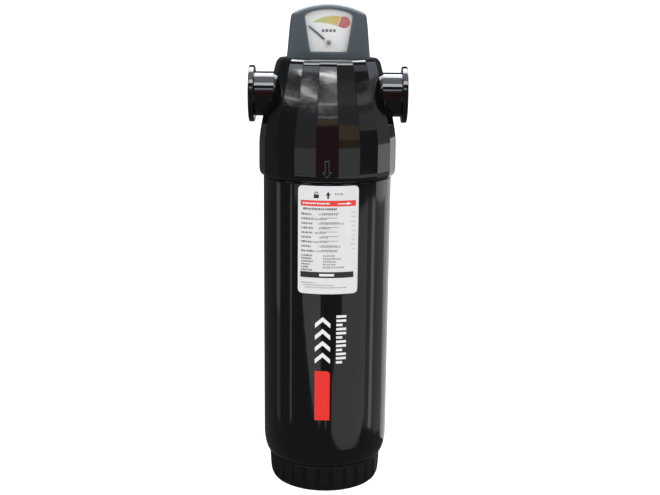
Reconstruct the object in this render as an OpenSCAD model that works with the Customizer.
/* [Head] */
// Distance between the two port faces
port_span = 121.5; // [118:0.5:140]
// Height of the port centres above the base
port_z = 310; // [307:0.5:312]
// Outside diameter of the two port necks
neck_d = 34; // [31:0.5:36]
// Outside diameter of the round flange at each port face
flange_d = 43.4; // [40:0.2:46]
// Thickness of the port flanges
flange_t = 4.3; // [3:0.1:6]
// Wall diameter of the threaded port holes
port_hole_d = 24.12; // [20:0.02:26]
// Depth of the threaded port holes
port_hole_depth = 17; // [14:0.5:19]
// Number of flat facets around the head
facets = 20; // [14:2:28]

/* [Gauge] */
// Width of the gauge housing at its foot
gauge_w = 63.2; // [60:0.2:64]
// Depth of the gauge housing, front to back
gauge_d = 43; // [42:0.5:44]
// Swing of the needle from clean to change element
needle_swing = 100; // [60:5:100]

/* [Bowl] */
// Outside diameter of the bowl under the head
bowl_d = 99.6; // [99:0.1:100]
// Wall thickness of the bowl
bowl_wall = 3; // [2.5:0.1:3.5]
// Angle of the bowl covered by the rating label
label_angle = 54; // [40:1:70]
// Height of the rating label
label_h = 82.5; // [60:0.5:90]

/* [Base] */
// Number of grip ribs around the base ring
ribs = 26; // [16:1:30]
// Outside radius of the base ring at its top
ring_r = 44.7; // [44:0.1:46]

/* [Element] */
// Outside diameter of the foam sleeve of the filter element
element_d = 66; // [62:1:72]
// Number of pleats in the filter media
pleats = 36; // [24:1:44]

/* [Drain] */
// Lift of the drain float from shut to open
float_lift = 8; // [4:0.5:9]

/* [Hidden] */
$fn = 96;
bowl_r = bowl_d / 2;
head_z0 = 248.3;
head_z1 = 338;
thread_r = 46.05;
seal_r = 44.05;
nozzle_r = 12;
port_x = port_span / 2;
duct_r = 11.5;
media_r = element_d / 2 - 5;
gy = gauge_d / 2;
pivot_z = 349.4;
dial_y = -gy + 6.4;
meter_y = 9;
bowl_floor = 24.5;

// Sub-part to build, or all of them

// Ring of n corner points of radius r at height z, with a flat side to the front
function gon(r, z, n) = [for (i = [0:n - 1]) let (a = 360 * (i + 0.5) / n - 90)
  [r * cos(a), r * sin(a), z]];

// Solid with n flat facets through a list of [radius, height] rings, bottom ring first
module faceted_bell(rings, n) {
  pts = [for (q = rings) each gon(q[0], q[1], n)];
  m = len(rings);
  sides = [for (k = [0:m - 2], i = [0:n - 1])
    [k * n + i, (k + 1) * n + i, (k + 1) * n + (i + 1) % n, k * n + (i + 1) % n]];
  polyhedron(pts, concat(
    [[for (i = [0:n - 1]) i]], sides, [[for (i = [n - 1:-1:0]) (m - 1) * n + i]]));
}

module tube(r_out, r_in, z0, z1) {
  difference() {
    translate([0, 0, z0]) cylinder(h = z1 - z0, r = r_out);
    translate([0, 0, z0 - 1]) cylinder(h = z1 - z0 + 2, r = r_in);
  }
}

module o_ring(r, w, z) {
  translate([0, 0, z]) rotate_extrude() translate([r, 0]) circle(r = w / 2, $fn = 24);
}

module x_cyl(r, x0, x1, z = 0) {
  translate([x0, 0, z]) rotate([0, 90, 0]) cylinder(h = x1 - x0, r = r);
}

module y_cyl(r, y0, y1) {
  rotate([-90, 0, 0]) translate([0, 0, y0]) cylinder(h = y1 - y0, r = r);
}

module filter_head() {
  color([0.03, 0.03, 0.035]) difference() {
    union() {
      faceted_bell([
        [50.9, head_z0], [52.4, 250.3], [53.4, 254.5], [53.4, 274], [52.6, 283], [51, 292.5],
        [42.2, 328], [39.9, 335], [38.6, head_z1]], facets);
      x_cyl(neck_d / 2, -port_x + 1, port_x - 1, port_z);
      for (s = [-1, 1]) scale([s, 1, 1]) translate([port_x - flange_t, 0, port_z]) rotate([0, 90, 0])
        rotate_extrude() polygon([
          [14, 0], [flange_d / 2 - 0.6, 0], [flange_d / 2, 0.6], [flange_d / 2, flange_t - 0.8],
          [flange_d / 2 - 0.8, flange_t], [14, flange_t]]);
      // raised outline arrow that points down at the lock mark
      translate([0, -52.2, 262]) rotate([90, 0, 0]) linear_extrude(1.2) difference() {
        arrow_shape(0);
        arrow_shape(0.9);
      }
    }
    // socket for the bowl's screw thread, then the seal land
    translate([0, 0, head_z0 - 1]) cylinder(h = 17.5, r = thread_r);
    translate([0, 0, head_z0 + 10]) cylinder(h = 20, r = seal_r);
    // clean air chamber around the nozzle
    difference() {
      translate([0, 0, 276]) cylinder(h = 46, r1 = 42, r2 = 33);
      translate([0, 0, 270]) cylinder(h = 60, r = nozzle_r + 3.5);
      x_cyl(duct_r + 3.5, -60, 0, port_z);
    }
    // inlet passage into the nozzle
    x_cyl(duct_r, -port_x - 1, 0, port_z);
    translate([0, 0, 268]) cylinder(h = port_z - 268, r = nozzle_r);
    translate([0, 0, 268]) cylinder(h = 12, r = 26);
    // outlet passage out of the chamber
    x_cyl(duct_r, 20, port_x + 1, port_z);
    // threaded port holes
    for (s = [-1, 1]) scale([s, 1, 1]) {
      x_cyl(port_hole_d / 2, port_x - port_hole_depth, port_x + 1, port_z);
      x_cyl(port_hole_d / 2 + 2.6, port_x - 1.6, port_x + 1, port_z);
    }
    // tapping holes up to the gauge, and the screw hole of the tie rod
    translate([-6, meter_y, 308]) cylinder(h = 40, r = 1.2, $fn = 24);
    translate([16, meter_y, 308]) cylinder(h = 40, r = 1.2, $fn = 24);
    translate([0, 0, 300]) cylinder(h = 30, r = 3.05, $fn = 32);
    for (s = [-1, 1], t = [-1, 1]) translate([s * 24, t * 12, 330]) cylinder(h = 9, r = 1.5, $fn = 24);
  }
}

// Down arrow outline, inset by c
module arrow_shape(c) {
  polygon([
    [0, -7 + c * 1.3], [3.7 - c * 1.6, -2.4 - c * 0.2 + c], [1.9 - c, -2.4 + c],
    [1.9 - c, 7 - c], [-1.9 + c, 7 - c], [-1.9 + c, -2.4 + c], [-3.7 + c * 1.6, -2.4 - c * 0.2 + c]]);
}

module port_seal(s) {
  color([0.09, 0.09, 0.09]) scale([s, 1, 1]) translate([port_x - 1.55, 0, port_z]) rotate([0, 90, 0])
    tube(port_hole_d / 2 + 2.5, port_hole_d / 2 + 0.5, 0, 1.4);
}

module port_seal_inlet() {
  port_seal(-1);
}

module port_seal_outlet() {
  port_seal(1);
}

// Front outline of the gauge housing with its domed top, inset by c
module gauge_front(c) {
  w = gauge_w / 2;
  offset(delta = -c) polygon(concat(
    [[-w, 330], [w, 330], [w, 338], [w - 0.9, 345], [w - 2.4, 362], [w - 3, 367], [w - 3.7, 369.4]],
    [for (a = [24:-4:-24]) [(w - 6.9) * sin(a) / sin(24), 318 + 60 * cos(a)]],
    [[-w + 3.7, 369.4], [-w + 3, 367], [-w + 2.4, 362], [-w + 0.9, 345], [-w, 338]]));
}

// Window outline of the gauge, grown by c
module gauge_window(c) {
  offset(r = 2) offset(delta = c - 2) polygon([
    [-14.4, 342.2], [14.4, 342.2], [18.7, 370.5], [12.5, 373], [6.2, 374.4], [0, 374.8],
    [-6.2, 374.4], [-12.5, 373], [-18.7, 370.5]]);
}

module front_slab(y0, y1) {
  translate([0, y1, 0]) rotate([90, 0, 0]) linear_extrude(y1 - y0) children();
}

module gauge_seat_gasket() {
  color([0.08, 0.08, 0.08]) difference() {
    translate([-26.5, -15.5, 338.02]) cube([53, 31, 1.93]);
    for (s = [-1, 1], t = [-1, 1]) translate([s * 24, t * 12, 337]) cylinder(h = 4, r = 1.8, $fn = 24);
    for (x = [-6, 16]) translate([x, meter_y, 337]) cylinder(h = 4, r = 1.6, $fn = 24);
  }
}

module gauge_housing() {
  color([0.32, 0.34, 0.37]) difference() {
    intersection() {
      hull() {
        front_slab(-gy + 3.6, gy - 1.5) gauge_front(0);
        front_slab(-gy + 1.1, gy) gauge_front(1);
        front_slab(-gy, gy - 2) gauge_front(3);
      }
      translate([-50, -50, head_z1 + 0.05]) cube(100);
    }
    // recess for the lens, room for the needle, and pocket for the meter
    front_slab(-gy - 1, -gy + 2.2) gauge_window(0.6);
    front_slab(-gy, dial_y + 1) gauge_window(-0.6);
    translate([-15, -4, 341]) cube([30, gy + 5 - 2.5, 28.5]);
    translate([0, 0, pivot_z]) y_cyl(2.2, dial_y, 0);
    translate([-26.7, -15.7, 337]) cube([53.4, 31.4, 3]);
    translate([-6, meter_y, 338]) cylinder(h = 6, r = 1.6, $fn = 24);
    for (s = [-1, 1], t = [-1, 1]) translate([s * 24, t * 12, 338]) cylinder(h = 12, r = 1.9, $fn = 24);
    for (s = [-1, 1], t = [-1, 1]) translate([s * 24, t * 12, 344]) cylinder(h = 22, r = 3.4, $fn = 32);
    translate([-17, gy - 2.5, 341]) cube([34, 4, 30]);
  }
}

module gauge_back_plate() {
  color([0.3, 0.32, 0.35])
    translate([-16.9, gy - 2.4, 341.1]) cube([33.8, 1.9, 29.8]);
}

module gauge_lens() {
  color([0.9, 0.93, 0.95, 0.35]) front_slab(-gy + 0.2, -gy + 2.1) gauge_window(0.5);
}

module gauge_dial() {
  color([0.93, 0.93, 0.92]) difference() {
    front_slab(dial_y, dial_y + 0.9) gauge_window(-0.7);
    translate([0, 0, pivot_z]) y_cyl(1.6, dial_y - 1, dial_y + 2);
  }
}

// Points from p towards q on a shallow arch that rises by bow at its middle
function bowed(p, q, bow) = let (d = q - p, side = [-d.y, d.x] / norm(d))
  [for (t = [0:0.1:0.91]) p + d * t + side * bow * 4 * t * (1 - t)];

// Crescent that swells to the right and is cut off slanting, and the round spot beyond it
module gauge_scale_band() {
  tip = [-12.5, 364.4];
  color([0.8, 0.78, 0.35]) front_slab(dial_y - 0.12, dial_y - 0.02) {
    polygon(concat(bowed(tip, [9.2, 368.9], 2.2), [[9.2, 368.9]], bowed([6.4, 361.9], tip, -0.95)));
    polygon(concat(
      [[6.9, 361.7], [9.6, 369]],
      [for (a = [95:-15:-115]) [11.6, 364.65] + 4.35 * [cos(a), sin(a)]]));
  }
}

module gauge_needle() {
  color([0.05, 0.05, 0.05]) translate([0, 0, pivot_z]) rotate([0, -needle_swing / 2, 0]) difference() {
    union() {
      y_cyl(2.6, dial_y - 1.6, dial_y - 0.6);
      front_slab(dial_y - 1.4, dial_y - 0.8) polygon([
        [-0.85, 0], [-0.75, 12], [-0.5, 19.3], [0.5, 19.3], [0.75, 12], [0.85, 0]]);
    }
    y_cyl(1, dial_y - 3, dial_y + 1);
  }
}

module needle_shaft() {
  color([0.7, 0.7, 0.72]) translate([0, 0, pivot_z]) {
    y_cyl(0.98, dial_y - 1.6, -2.6);
    y_cyl(6, -2.6, -0.4);
  }
}

module gauge_cylinder() {
  color([0.75, 0.72, 0.6]) translate([-6, meter_y, 0]) difference() {
    translate([0, 0, 341.05]) cylinder(h = 28, r = 7.4);
    translate([0, 0, 343]) cylinder(h = 24, r = 6.05);
    translate([0, 0, 340]) cylinder(h = 5, r = 1.6, $fn = 24);
    translate([4, -1, 362]) cube([6, 2, 4]);
  }
}

module gauge_piston() {
  color([0.25, 0.25, 0.27]) translate([-6, meter_y, 0]) difference() {
    translate([0, 0, 343.2]) cylinder(h = 9, r = 6);
    translate([0, 0, 347.2]) cylinder(h = 6, r = 4.2);
  }
}

// Coil spring as a swept round wire
module gauge_spring() {
  turns = 6;
  steps = turns * 16;
  h = 18.4;
  r = 3.3;
  w = 0.35;
  pts = [for (i = [0:steps], k = [0:5])
    let (a = i * 360 / 16, c = r + w * cos(k * 60))
      [c * cos(a), c * sin(a), h * i / steps + w * sin(k * 60)]];
  color([0.7, 0.7, 0.72]) translate([-6, meter_y, 347.8]) polyhedron(pts, concat(
    [[for (k = [5:-1:0]) k]],
    [for (i = [0:steps - 1], k = [0:5])
      [i * 6 + k, i * 6 + (k + 1) % 6, i * 6 + 6 + (k + 1) % 6]],
    [for (i = [0:steps - 1], k = [0:5])
      [i * 6 + k, i * 6 + 6 + (k + 1) % 6, i * 6 + 6 + k]],
    [[for (k = [0:5]) steps * 6 + k]]));
}

module gauge_screws() {
  color([0.62, 0.63, 0.65]) for (s = [-1, 1], t = [-1, 1]) translate([s * 24, t * 12, 0]) {
    difference() {
      union() {
        translate([0, 0, 331]) cylinder(h = 14, r = 1.45, $fn = 24);
        translate([0, 0, 344.05]) cylinder(h = 2.6, r = 2.8, $fn = 32);
      }
      translate([0, 0, 345.6]) cylinder(h = 3, r = 1.25, $fn = 6);
    }
  }
}

module element_top_cap() {
  color([0.1, 0.1, 0.11]) difference() {
    union() {
      translate([0, 0, 256]) cylinder(h = 6, r = element_d / 2 + 0.8);
      translate([0, 0, 261]) cylinder(h = 5.5, r = 24);
      translate([0, 0, 262]) cylinder(h = 22, r = nozzle_r - 0.05);
    }
    translate([0, 0, 250]) cylinder(h = 40, r = 9.2);
    for (z = [273, 278]) tube(nozzle_r + 2, nozzle_r - 2.1, z - 1.3, z + 1.3);
    translate([0, 0, 255]) cylinder(h = 4, r = element_d / 2 - 1.4);
  }
}

module element_spigot_rings() {
  color([0.06, 0.06, 0.06]) for (z = [273, 278]) o_ring(nozzle_r - 1.06, 2, z);
}

module element_core() {
  color([0.72, 0.73, 0.75]) difference() {
    tube(13.2, 12.2, 76.5, 258.9);
    for (z = [84:12:250], a = [0:60:179]) translate([0, 0, z]) rotate([0, 0, a])
      x_cyl(2.2, -20, 20, $fn = 16);
  }
}

module element_media() {
  n = pleats;
  color([0.9, 0.9, 0.88]) translate([0, 0, 76.5]) linear_extrude(182.4) difference() {
    polygon([for (i = [0:2 * n - 1]) let (r = i % 2 == 0 ? media_r : 15.6)
      [r * cos(i * 180 / n), r * sin(i * 180 / n)]]);
    polygon([for (i = [0:2 * n - 1]) let (r = i % 2 == 0 ? media_r - 1.8 : 13.5)
      [r * cos(i * 180 / n), r * sin(i * 180 / n)]]);
  }
}

module element_sleeve() {
  color([0.7, 0.71, 0.73]) tube(media_r + 1, media_r + 0.3, 76.5, 258.9);
}

module element_foam_wrap() {
  color([0.62, 0.12, 0.1]) tube(element_d / 2 - 0.4, media_r + 1.1, 79.2, 255.9);
}

module element_bottom_cap() {
  color([0.1, 0.1, 0.11]) difference() {
    union() {
      translate([0, 0, 70]) cylinder(h = 6.4, r = element_d / 2 + 0.8);
      translate([0, 0, 76]) cylinder(h = 3, r = element_d / 2 - 1.4);
      translate([0, 0, 66]) cylinder(h = 5, r = 12);
    }
    translate([0, 0, 76.4]) cylinder(h = 4, r = media_r + 1.1);
    translate([0, 0, 60]) cylinder(h = 20, r = 3.1, $fn = 32);
  }
}

module tie_rod() {
  color([0.7, 0.71, 0.73]) translate([0, 0, 58]) cylinder(h = 268, r = 3, $fn = 32);
}

module tie_rod_nut() {
  color([0.68, 0.69, 0.71]) difference() {
    union() {
      translate([0, 0, 60.9]) cylinder(h = 5, r = 5.6, $fn = 6);
      translate([0, 0, 64.9]) cylinder(h = 1, r = 6.5);
    }
    translate([0, 0, 55]) cylinder(h = 20, r = 3.02, $fn = 32);
  }
}

module bowl_o_ring() {
  color([0.06, 0.06, 0.06]) o_ring(seal_r - 1.56, 3, 272);
}

module bowl_shell() {
  neck_r = seal_r - 0.05;
  wall = bowl_wall;
  color([0.03, 0.03, 0.035]) difference() {
    rotate_extrude($fn = 128) polygon([
      [5.1, 20], [33, 20], [33.4, 14], [38, 14], [38, 22.2], [44.6, 22.2], [46.1, 23.8],
      [47.4, 26.6], [48.3, 29.8], [48.9, 33.4], [bowl_at(38), 38], [bowl_r, 246], [bowl_r, 247.2],
      [bowl_r - 0.5, 247.8],
      [44.9, 247.8], [44.9, 250.4], [thread_r - 0.05, 251.3], [thread_r - 0.05, 252.1],
      [44.9, 253], [44.9, 254.4], [thread_r - 0.05, 255.3], [thread_r - 0.05, 256.1],
      [44.9, 257], [neck_r, 258], [neck_r, 270.35],
      [neck_r - 3.1, 270.35], [neck_r - 3.1, 273.65], [neck_r, 273.65], [neck_r, 274.5],
      [neck_r - 1, 275.5], [38.6, 275.5], [38.6, 252], [bowl_r - wall, 244],
      [49.2 - wall, 34], [45.4, 27.4], [41, bowl_floor], [5.1, bowl_floor]]);
    for (a = [0:120:359]) rotate([0, 0, a + 30]) translate([35.7, 0, 13]) cylinder(h = 7, r = 1, $fn = 24);
  }
}

// Outside radius of the bowl at height z
function bowl_at(z) = 49.3 + (bowl_r - 49.3) * (z - 32.5) / 213.5;

// Thin sheet on the bowl between heights z0 and z1, and angles a0 and a1 from the front
module front_patch(t, z0, z1, a0, a1) {
  intersection() {
    difference() {
      translate([0, 0, z0]) cylinder(h = z1 - z0, r1 = bowl_at(z0) + t, r2 = bowl_at(z1) + t);
      translate([0, 0, z0 - 1])
        cylinder(h = z1 - z0 + 2, r1 = bowl_at(z0 - 1) + 0.08, r2 = bowl_at(z1 + 1) + 0.08);
    }
    rotate([0, 0, -90]) linear_extrude(400) polygon(concat([[0, 0]],
      [for (i = [0:8]) let (a = a0 + (a1 - a0) * i / 8) 90 * [cos(a), sin(a)]]));
  }
}

module rating_label() {
  color([0.86, 0.86, 0.88]) front_patch(0.3, 246 - label_h, 246,
    -label_angle / 2 + 1.5, label_angle / 2 + 1.5);
}

module side_stripe() {
  color([0.85, 0.12, 0.1]) front_patch(0.26, 62.7, 102.5, -9.3, 4.1);
}

module base_ring() {
  color([0.05, 0.05, 0.05]) difference() {
    rotate_extrude($fn = 128) polygon([
      [38.1, 0.6], [38.7, 0], [39.4, 0], [41, 0.7], [42.3, 2.1], [43.3, 4.6], [ring_r - 0.6, 10],
      [ring_r, 21], [ring_r - 0.5, 21.9], [38.1, 21.9], [38.1, 13.9], [33.5, 13.9], [33.5, 11.4],
      [38.1, 11.4]]);
    for (i = [0:ribs - 1]) rotate([0, 0, 360 * (i + 0.5) / ribs - 90]) translate([ring_r + 0.9, 0, 3])
      cylinder(h = 16, r = 2.3, $fn = 24);
    for (a = [0:120:359]) rotate([0, 0, a + 30]) translate([35.7, 0, 10]) cylinder(h = 7, r = 1.2, $fn = 24);
  }
}

module ring_screws() {
  color([0.62, 0.63, 0.65]) for (a = [0:120:359]) rotate([0, 0, a + 30]) translate([35.7, 0, 0]) {
    translate([0, 0, 10]) cylinder(h = 9, r = 0.98, $fn = 24);
    translate([0, 0, 9.3]) cylinder(h = 2, r = 1.9, $fn = 24);
  }
}

module quiet_zone_baffle() {
  color([0.2, 0.2, 0.21]) difference() {
    union() {
      translate([0, 0, 56]) cylinder(h = 2, r = 44);
      for (a = [0:90:359]) rotate([0, 0, a + 45]) translate([37, -1, bowl_floor + 0.05]) cube([3, 2, 32]);
      tube(44, 42, 52, 57);
    }
    translate([0, 0, 50]) cylinder(h = 20, r = 6.5);
    for (a = [0:30:359]) rotate([0, 0, a]) translate([32, 0, 50]) cylinder(h = 12, r = 4.6, $fn = 24);
  }
}

module drain_body() {
  color([0.12, 0.12, 0.13]) difference() {
    union() {
      translate([0, 0, 15.6]) cylinder(h = 11, r = 5);
      translate([0, 0, 26.5]) cylinder(h = 3, r = 14);
      translate([0, 0, 9.3]) cylinder(h = 7, r = 3.8);
      translate([0, 0, 1]) cylinder(h = 9, r = 3.5);
    }
    translate([0, 0, 0]) cylinder(h = 40, r = 1.6, $fn = 32);
    translate([0, 0, 27]) cylinder(h = 5, r = 4.05);
  }
}

module drain_cage() {
  color([0.85, 0.85, 0.82]) difference() {
    union() {
      tube(15.5, 14.1, 27.6, 41.5 + float_lift);
      translate([0, 0, 41 + float_lift]) cylinder(h = 1.5, r = 15.5);
    }
    for (a = [0:45:179]) rotate([0, 0, a]) translate([-20, -2, 33]) cube([40, 4, 4 + float_lift]);
    translate([0, 0, 40 + float_lift]) cylinder(h = 5, r = 3, $fn = 32);
  }
}

module drain_seat() {
  color([0.07, 0.07, 0.07]) tube(4, 1.7, 27.05, 29);
}

module drain_o_ring() {
  color([0.06, 0.06, 0.06]) tube(8.4, 5.1, bowl_floor + 0.03, 26.45);
}

module drain_nut() {
  color([0.68, 0.69, 0.71]) difference() {
    translate([0, 0, 16.6]) cylinder(h = 3.3, r = 9, $fn = 6);
    translate([0, 0, 10]) cylinder(h = 12, r = 5.02);
  }
}

module drain_knob() {
  color([0.06, 0.06, 0.06]) difference() {
    translate([0, 0, 9.4]) cylinder(h = 5.8, r = 11);
    translate([0, 0, 8]) cylinder(h = 9, r = 4.2);
    for (i = [0:17]) rotate([0, 0, i * 20]) translate([11.6, 0, 8]) cylinder(h = 9, r = 1.2, $fn = 16);
  }
}

module drain_float() {
  color([0.9, 0.9, 0.86]) difference() {
    translate([0, 0, 30.4]) cylinder(h = 9.6, r = 13.2);
    translate([0, 0, 30.4 - 1]) cylinder(h = 7, r = 9);
    translate([0, 0, 29]) cylinder(h = 20, r = 1.7, $fn = 32);
  }
}

module drain_valve() {
  color([0.7, 0.7, 0.72]) {
    translate([0, 0, 31.2]) cylinder(h = 10.6, r = 1.65, $fn = 32);
    translate([0, 0, 29.1]) cylinder(h = 2.4, r1 = 2.2, r2 = 3.2);
  }
}

filter_head();
port_seal_inlet();
port_seal_outlet();
gauge_seat_gasket();
gauge_housing();
gauge_back_plate();
gauge_lens();
gauge_dial();
gauge_scale_band();
gauge_needle();
needle_shaft();
gauge_cylinder();
gauge_piston();
gauge_spring();
gauge_screws();
element_top_cap();
element_spigot_rings();
element_core();
element_media();
element_sleeve();
element_foam_wrap();
element_bottom_cap();
tie_rod();
tie_rod_nut();
bowl_o_ring();
bowl_shell();
rating_label();
side_stripe();
base_ring();
ring_screws();
quiet_zone_baffle();
drain_body();
drain_cage();
drain_seat();
drain_o_ring();
drain_nut();
drain_knob();
drain_float();
drain_valve();
